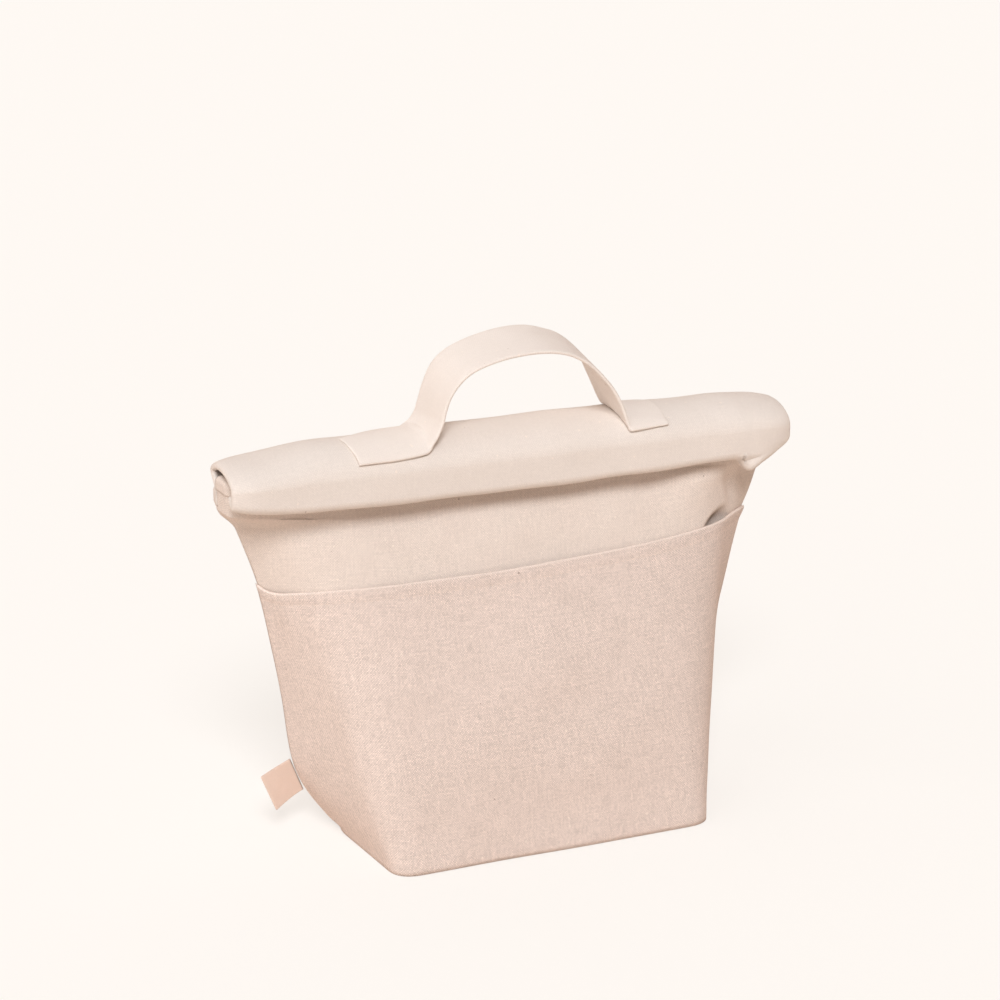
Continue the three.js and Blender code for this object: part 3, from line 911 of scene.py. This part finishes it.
roll = cloth(
    "roll_cover",
    roll_layer(ROLL_SPLIT, 1, 150, roll_x, ROLL_THICK / 2),
    ROLL_THICK / 2,
    roll_canvas,
    square=("first",),
)
lining_x = spaced(-ROLL_LENGTH / 2 + 24, ROLL_LENGTH / 2 - 24, 2.5, 0.5)
roll_lining = cloth(
    "roll_lining_film",
    roll_layer(ROLL_SPLIT, 0.97, 110, lining_x, ROLL_LINING_DEPTH, clear=0.6),
    LINING / 2,
    silver_film,
    square=("first",),
)


def hinge_grid(places, depth):
    """Cloth from the back wall, up over the hinge, to where the roll's cover begins."""
    upper = roll_grid(0, ROLL_SPLIT, 14, places)
    lower, straight = [], []
    for z in np.linspace(BACK_TOP + 0.3, HINGE_HEIGHT, 20)[:-1]:
        share = smooth(z, 200, HINGE_HEIGHT)
        wrapped = plan_row(z, places / (ROLL_LENGTH / 2), 0.5)
        row = upper[0].copy()
        row[:, :2] = wrapped + share * (row[:, :2] - wrapped)
        row[:, 2] = z
        lower.append(row)
        straight.append(share)
    grid = np.concatenate([np.array(lower), upper])
    straight = np.concatenate([straight, np.ones(len(upper))])[:, None, None]
    middle = grid + into_roll(grid) * depth
    return middle + straight * (round_end(middle) - middle)


hinge = cloth(
    "back_hinge_cloth",
    hinge_grid(roll_x, ROLL_THICK / 2),
    ROLL_THICK / 2,
    roll_canvas,
    square=("first", "last"),
)
hinge_lining = cloth(
    "hinge_lining_film",
    hinge_grid(lining_x, ROLL_LINING_DEPTH),
    LINING / 2,
    silver_film,
    square=("last",),
)


# Bindings of the lip and of the flap's end, folded over their edges
def binding_section(thickness, height):
    """Places of a folded tape across an edge: depth into the edge, and height above its top."""
    turn = np.radians(np.linspace(180, 0, 13))
    half = thickness / 2
    over = np.stack([half + half * np.cos(turn), half * np.sin(turn)], -1)
    down = np.linspace(-height, 0, 8)[:-1]
    outer = np.stack([np.zeros(len(down)), down], -1)
    inner = np.stack([np.full(len(down), thickness), down[::-1]], -1)
    return np.concatenate([outer, over, inner])


def lip_binding():
    """Tape over the front lip's edge, which rises at the left end."""
    near_top = at_heights(front_wall, np.repeat([[LIP_TOP - 2.0], [LIP_TOP]], COLUMNS, 1))
    inward = -outward(near_top, -1)[0]
    rows = []
    for depth, rise in binding_section(WALL + 0.8, 5):
        row = near_top[1] + inward * (depth - 0.4)
        row[:, 1] = np.minimum(row[:, 1], -SEAM_GAP - 0.3)
        row[:, 2] = LIP_TOP - 0.5 + rise * 0.9 + 3 * smooth(-row[:, 0], 140, 158)
        rows.append(row)
    return np.array(rows)


mouth_binding = cloth("mouth_binding", lip_binding(), LIP_TAPE / 2, canvas)


def end_binding():
    """Tape over the edge of the flap's end, inside the roll."""
    rows = []
    for depth, rise in binding_section(WALL + 0.6, 5):
        x = spaced(-ROLL_LENGTH / 2 + 2, ROLL_LENGTH / 2 - 4, 4, 0.5)
        y = np.full(len(x), FLAP_END_FACE + 0.3 - depth)
        rows.append(np.stack([x, y, np.full(len(x), FLAP_END - 1.0 + rise)], -1))
    return round_end(np.array(rows))


flap_binding = cloth("flap_end_binding", end_binding(), END_TAPE / 2, roll_canvas)


def strip(name, face, outer_side, material):
    """Fastening strip standing on a face."""
    x = spaced(-STRIP_LENGTH / 2, STRIP_LENGTH / 2, 2, STRIP / 2)
    z = spaced(STRIP_BOTTOM, STRIP_BOTTOM + STRIP_HEIGHT, 0.8, STRIP / 2)
    xs, zs = np.meshgrid(x, z)
    y = np.full(xs.shape, face + outer_side * (0.3 + STRIP / 2))
    return cloth(name, np.stack([xs, y, zs], -1), STRIP / 2, material)


hook_strip = strip("hook_strip_pile", FLAP_END_FACE, 1, hook_pile)
loop_strip = strip("loop_strip_pile", LIP_FACE, -1, loop_pile)


# Strap: sewn ends that lie on the roll, where no height is given, and the loop between them
STRAP_FRONT = [
    (-94.5, -31, None), (-84, -31, None), (-74, -31, None), (-63, -30.6, 218.8), (-56, -30, 222),
    (-50.5, -29, 227.6), (-46.5, -28, 235), (-44.5, -28, 242.5), (-41.5, -28, 250), (-36, -28, 257),
    (-28, -28, 262.6), (-14, -28, 266.9), (1, -28, 268.8), (14, -28, 268.6), (24, -28, 266.8),
    (32, -28, 263.4), (40, -28, 257.8), (47.6, -28, 249.8), (53.3, -28, 242.4), (57.4, -28.4, 234.6),
    (60.4, -29.4, 226), (62.2, -30.6, 220.2), (63.6, -31, None), (70, -30.8, None), (77, -30.4, None),
    (85, -30, None),
]
STRAP_BACK = [
    (-98.5, -9, None), (-88, -4, None), (-77, 1, None), (-66, 4.5, None), (-59.5, 5.4, 226.6),
    (-54.4, 6, 228.4), (-50.4, 6, 233.6), (-48, 6, 240.8), (-45.1, 6, 249.8), (-40.4, 6, 259.4),
    (-32.3, 6, 266.4), (-19, 6, 271.6), (-2.4, 6, 275), (12, 6, 275.2), (23, 6, 272.5),
    (32, 6, 268.8), (40, 6, 262.6), (46.4, 6, 255.4), (51, 6, 246), (54.8, 6, 237.6),
    (57.8, 6, 231), (60, 5.8, 227.2), (61.6, 5.4, None), (68, 4, None), (76, 1, None),
    (84, -6, None),
]


def roll_top_height(x, y):
    """Height of the roll's top at a place."""
    section = roll_profile(x)[:OVER_POINTS]
    return float(np.interp(y, section[::-1, 0], section[::-1, 1]))


def strap_edge(points):
    """Edge of the strap as smooth curves through its points, on the roll where no height is given."""
    placed = []
    for x, y, z in points:
        if z is None:
            z = roll_top_height(x, y) + STRAP / 2 + STRAP_CLEAR
        placed.append((x, y, z))
    placed = np.array(placed)
    place = np.arange(len(points))
    at = spaced(0, len(points) - 1, 0.16, 0.08)
    return np.stack([curve(np.stack([place, placed[:, k]], -1), at) for k in range(3)], -1)


def strap_grid():
    """Rows along the strap, from its front edge to its back edge. The sewn ends follow the roll."""
    front, back = strap_edge(STRAP_FRONT), strap_edge(STRAP_BACK)
    across = spaced(0, 1, 0.07, 0.03)
    grid = front[:, None] + across[None, :, None] * (back - front)[:, None]
    half = np.full(grid.shape[:2], STRAP / 2)
    for i in range(len(grid)):
        rise = [edge[i, 2] - roll_top_height(edge[i, 0], edge[i, 1]) for edge in (front, back)]
        laid = 1 - float(smooth(min(rise), 1.3, 2.4))
        thinner = 0.3 * float(smooth(front[i, 0], 66, 85))
        half[i] *= 1 - laid * (0.6 * across + thinner * (1 - across))
        end_lift = RIGHT_END_LIFT if front[i, 0] > 0 else LEFT_END_LIFT
        lift = end_lift * laid * (1 - smooth(across, 0, 0.3))
        for j in range(grid.shape[1]):
            x, y, z = grid[i, j]
            on_roll = roll_top_height(x, y) + half[i, j] + STRAP_CLEAR + lift[j]
            grid[i, j, 2] = max(z + laid * (on_roll - z), on_roll)
    return grid, half


strap_middle, strap_half = strap_grid()
strap = cloth("strap_cloth", strap_middle, strap_half, strap_canvas)


# Label: a folded tape in the left seam
def label_grid():
    """Tape from the seam out to its fold and back, as two close layers."""
    seam = np.subtract(LABEL_HIGH, LABEL_LOW)
    up = seam / np.linalg.norm(seam)
    out = np.array([-up[2], 0, up[0]])
    along = spaced(-0.5, LABEL_WIDTH, 0.9, 0.3)
    turn = np.radians(np.linspace(-90, 90, 9))
    outgoing = np.linspace(0, LABEL_REACH, 20)
    spread = 0.42 + 0.25 * smooth(outgoing, 2, 14)
    tip = outgoing[-1] + spread[-1] * np.cos(turn[1:-1])
    reach = np.concatenate([outgoing, tip, outgoing[::-1]])
    apart = np.concatenate([-spread, spread[-1] * np.sin(turn[1:-1]), spread[::-1]])
    rows = []
    for a in along:
        bow = 1.3 * np.sin(np.pi * reach / 40) + (2 + 3 * (1 - a / 20)) * (reach / 18) ** 2
        point = LABEL_LOW + up * a + out * reach[:, None]
        point[:, 1] = point[:, 1] + apart - bow + 0.3
        rows.append(point)
    return np.array(rows)


label = cloth("side_label_tape", label_grid(), LABEL_TAPE / 2, label_tape)

# What each piece rides on and stands for
for piece, nodes, slot in (
    (front_panel, ["front_panel"], "canvas"),
    (back_panel, ["back_panel"], "canvas"),
    (base_panel, ["base_panel"], "canvas"),
    (pocket, ["front_pocket"], "canvas"),
    (mouth_binding, ["mouth_hem"], "canvas"),
    (front_padding, ["front_foam"], "foam"),
    (back_padding, ["back_foam"], "foam"),
    (base_padding, ["base_foam"], "foam"),
    (front_lining, ["front_lining"], "foil_lining"),
    (back_lining, ["back_lining"], "foil_lining"),
    (base_lining, ["base_lining"], "foil_lining"),
    (loop_strip, ["loop_strip"], "hook_and_loop"),
    (pocket_stitches, [], "canvas"),
):
    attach(piece, "bag_body")
    if nodes:
        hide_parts(*nodes)

for piece, nodes, slot in (
    (flap_binding, ["flap_end_hem"], "canvas"),
    (hook_strip, ["hook_strip"], "hook_and_loop"),
):
    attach(piece, "flap_front")
    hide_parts(*nodes)

for piece in (hinge, hinge_lining):
    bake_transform(piece)
for piece in (roll, roll_lining):
    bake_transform(piece)
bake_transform(strap)
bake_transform(label)
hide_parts("flap_top_canvas", "flap_top_foam", "flap_front_canvas", "flap_front_foam")
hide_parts("flap_top_lining", "flap_front_lining")
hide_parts("handle_strap", "handle_end_left", "handle_end_right")
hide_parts("side_label")


# Floor, light and camera
def direction(azimuth, elevation):
    """Unit vector towards a place in degrees round the bag, from its front, and above the floor."""
    a, e = np.radians(azimuth), np.radians(elevation)
    return Vector((np.sin(a) * np.cos(e), -np.cos(a) * np.cos(e), np.sin(e)))


FLOOR_REACH = 9
# Share of the seen floor that takes the bag's shadow.
SHADOW_SHARE = 0.33
WORLD_LIGHT = 0.27

floor_mesh = bpy.data.meshes.new("studio_floor")
floor_corners = [(x * FLOOR_REACH, y * FLOOR_REACH, 0) for x, y in ((-1, -1), (1, -1), (1, 1), (-1, 1))]
floor_mesh.from_pydata(floor_corners, [], [(0, 1, 2, 3)])
floor_material, floor_tree, floor_shader = new_material("studio_floor", 0.9, Specular_IOR_Level=0.0)
floor_shader.inputs["Base Color"].default_value = tint(236, 222, 210)
ray = put(floor_tree, "ShaderNodeLightPath")
seen = maths(floor_tree, "ADD", ray.outputs["Is Camera Ray"], ray.outputs["Is Glossy Ray"])
seen = maths(floor_tree, "ADD", seen, ray.outputs["Is Transmission Ray"])
backdrop = put(floor_tree, "ShaderNodeEmission", {"Color": tint(255, 252, 247), "Strength": 1.0})
shadowed = put(floor_tree, "ShaderNodeBsdfDiffuse", {"Color": tint(252, 247, 243)})
pale = put(
    floor_tree, "ShaderNodeMixShader", {0: SHADOW_SHARE, 1: backdrop.outputs[0], 2: shadowed.outputs[0]}
)
ground = put(floor_tree, "ShaderNodeMixShader", {0: seen, 1: floor_shader.outputs[0], 2: pale.outputs[0]})
floor_tree.links.new(ground.outputs[0], floor_tree.nodes["Material Output"].inputs["Surface"])
floor_mesh.materials.append(floor_material)
floor = bpy.data.objects.new("studio_floor", floor_mesh)
bpy.context.collection.objects.link(floor)

scene = bpy.context.scene
world = bpy.data.worlds.new("studio")
scene.world = world
world.use_nodes = True
surround = world.node_tree.nodes["Background"]
surround.inputs["Color"].default_value = tint(255, 222, 200)
surround.inputs["Strength"].default_value = WORLD_LIGHT

# Lamps: name, strength, spread, azimuth, elevation and colour
for name, strength, spread, azimuth, elevation, colour in (
    ("front_key", 2.1, 22, -16, 46, (0.97, 1.0, 1.03)),
    ("left_fill", 1.4, 90, -80, 14, (1.0, 1.0, 1.0)),
    ("back_fill", 0.9, 90, 168, 28, (1.0, 1.0, 1.0)),
):
    lamp = bpy.data.lights.new(name, "SUN")
    lamp.energy = strength
    lamp.angle = np.radians(spread)
    lamp.color = colour
    light = bpy.data.objects.new(name, lamp)
    light.rotation_mode = "QUATERNION"
    light.rotation_quaternion = direction(azimuth, elevation).to_track_quat("Z", "Y")
    bpy.context.collection.objects.link(light)

lens = bpy.data.cameras.new("photo_view")
lens.lens = VIEW_LENS
lens.sensor_width = 36
lens.sensor_fit = "AUTO"
camera = bpy.data.objects.new("photo_view", lens)
back = direction(VIEW_AZIMUTH, VIEW_ELEVATION)
camera.location = Vector(VIEW_TARGET) * MM + back * VIEW_DISTANCE * MM
camera.rotation_mode = "QUATERNION"
camera.rotation_quaternion = (-back).to_track_quat("-Z", "Y")
bpy.context.collection.objects.link(camera)
scene.camera = camera
scene.view_settings.view_transform = "Standard"
